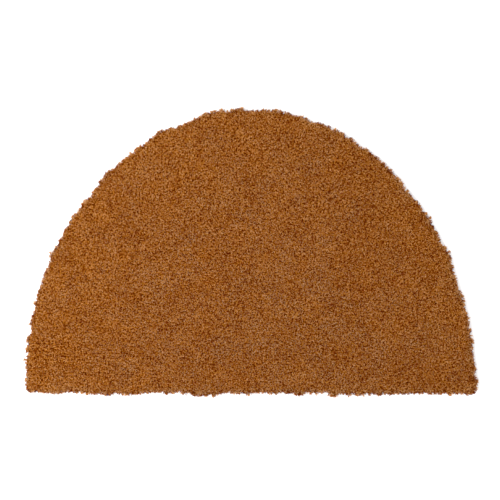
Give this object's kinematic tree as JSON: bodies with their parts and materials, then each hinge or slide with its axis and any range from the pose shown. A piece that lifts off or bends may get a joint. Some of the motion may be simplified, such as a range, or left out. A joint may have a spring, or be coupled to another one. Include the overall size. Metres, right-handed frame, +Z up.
{
  "type": "half-round coir doormat",
  "caption": "Flat half-round doormat of short coir pile with a straight front edge, an arched back edge and a ragged rim, for lying on a floor at a door.",
  "frame": {"origin": "on the floor, in the middle of the mat's bounding box", "axes": "+X along the straight edge, +Y from the straight edge towards the top of the arc, +Z up out of the pile"},
  "size_m": [0.7028, 0.4464, 0.0169],
  "materials": {
    "coir": "undyed orange-brown coconut fibre, cut to a short stiff brush, matt"
  },
  "bodies": {
    "root": {"coir_mat": "coir"}
  },
  "joints": []
}
